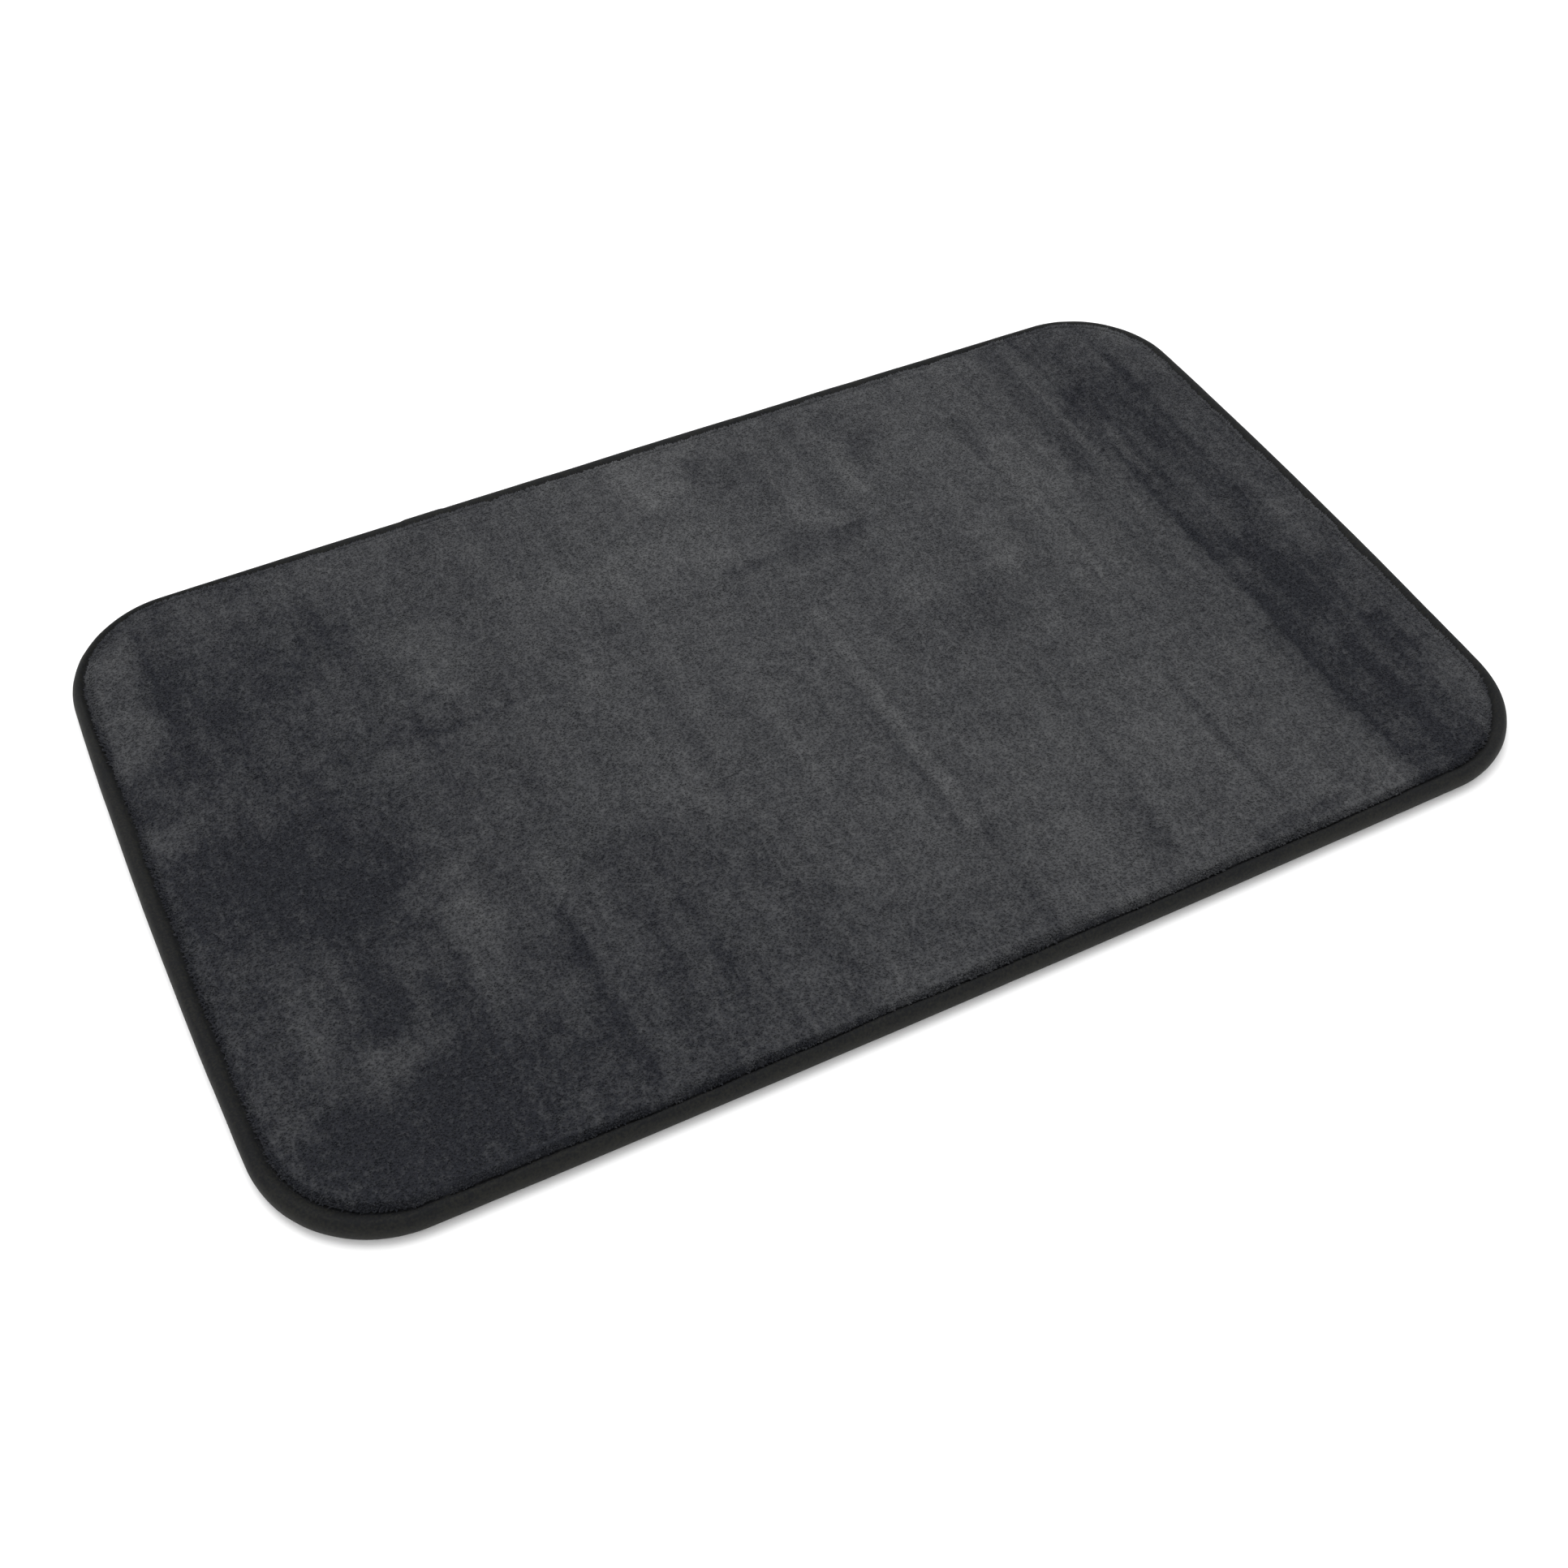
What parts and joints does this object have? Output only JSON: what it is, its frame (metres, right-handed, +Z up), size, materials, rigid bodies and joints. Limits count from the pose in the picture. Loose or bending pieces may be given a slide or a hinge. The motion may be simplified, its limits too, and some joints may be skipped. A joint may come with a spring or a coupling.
{
  "type": "bath mat",
  "caption": "Rounded rectangular bath mat: a charcoal plush cover over a foam core on a non-slip backing, with a sewn tape edge.",
  "frame": {"origin": "centre of the mat's outline at floor level", "axes": "+X along the long sides, +Y along the short sides, +Z up from the floor through the pile"},
  "size_m": [0.8, 0.4934, 0.019],
  "materials": {
    "plush_pile": "dense charcoal microfibre pile with brushed nap marks",
    "foam": "open-cell memory foam",
    "backing_cloth": "knitted cloth",
    "grip_dots": "soft moulded dots, satin",
    "binding_tape": "fine woven tape, soft sheen",
    "sewing_thread": "twisted polyester thread"
  },
  "bodies": {
    "root": {"pile_cover": "plush_pile", "foam_core": "foam", "nonslip_backing": "backing_cloth", "edge_binding": "binding_tape", "needle_thread": "sewing_thread", "bobbin_thread": "sewing_thread"}
  },
  "joints": []
}
